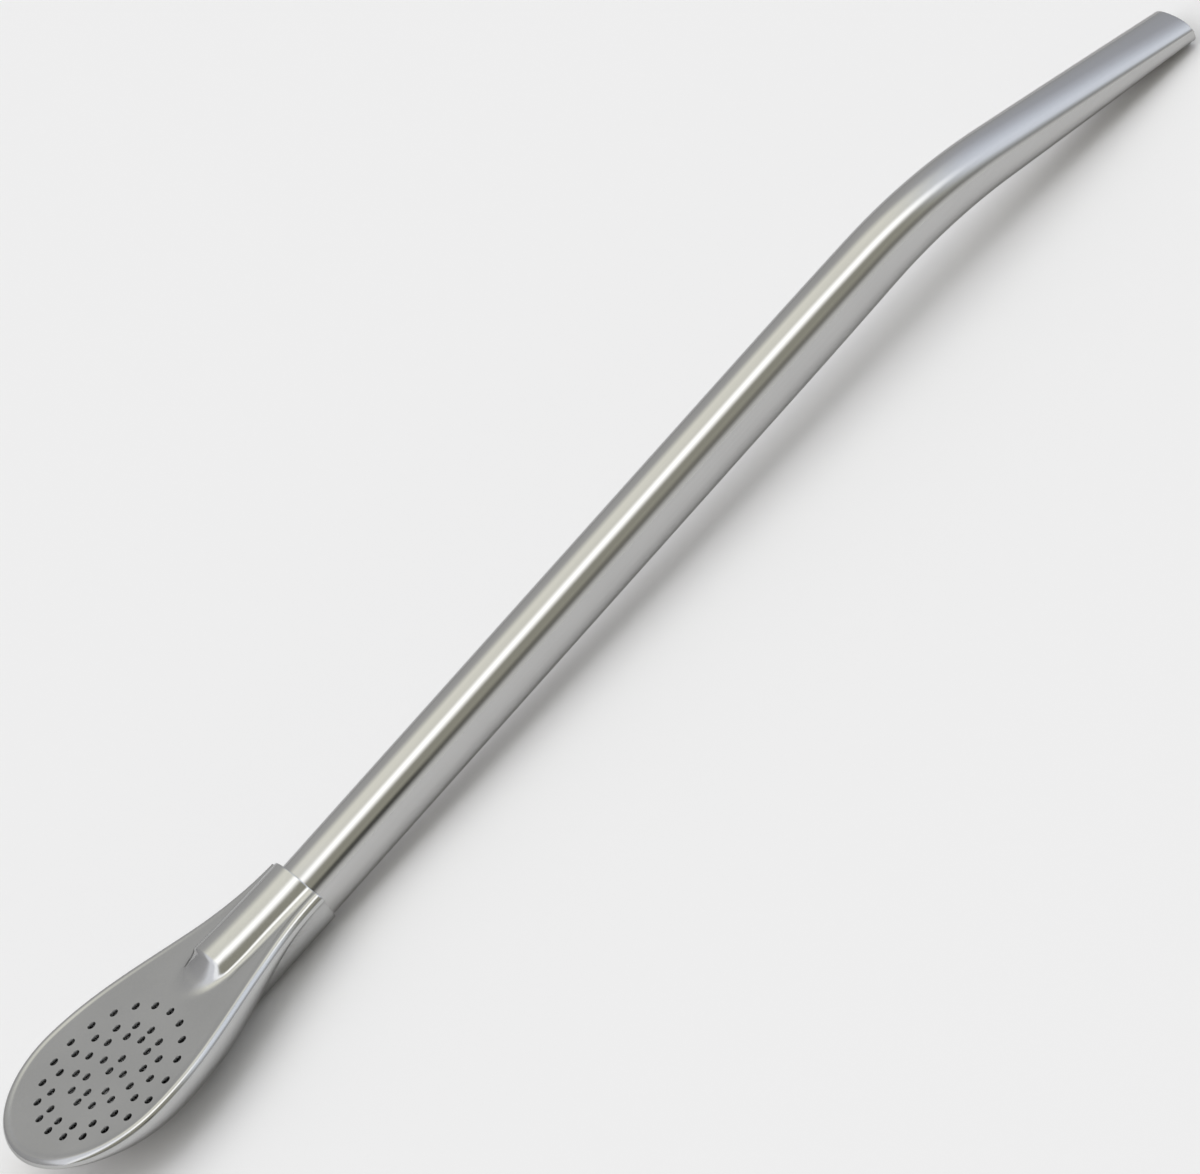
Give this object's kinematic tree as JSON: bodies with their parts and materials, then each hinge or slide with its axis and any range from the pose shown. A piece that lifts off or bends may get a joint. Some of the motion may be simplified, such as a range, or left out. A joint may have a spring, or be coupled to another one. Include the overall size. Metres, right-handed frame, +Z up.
{
  "type": "bombilla mate straw",
  "caption": "Steel drinking straw with a pierced spoon filter that pulls off the stem, a gentle bend and a flattened oval mouthpiece.",
  "frame": {"origin": "middle of the bounding box, at the level of the lowest point of the mouthpiece tip", "axes": "+X along the straight stem from the filter to the mouthpiece, +Z up out of the pierced face, +Y to the left seen from the filter"},
  "size_m": [0.188, 0.0262, 0.0171],
  "materials": {
    "polished_steel": "polished stainless steel with faint drawing lines",
    "satin_steel": "satin stainless steel"
  },
  "bodies": {
    "stem": {"stem_tube": "polished_steel"},
    "filter_head": {"filter_front": "satin_steel", "filter_back": "satin_steel"}
  },
  "joints": [
    {"name": "filter_pull_off", "type": "slide", "parent": "stem", "child": "filter_head", "axis": [-1, 0, 0], "range_m": [0, 0.016]}
  ]
}
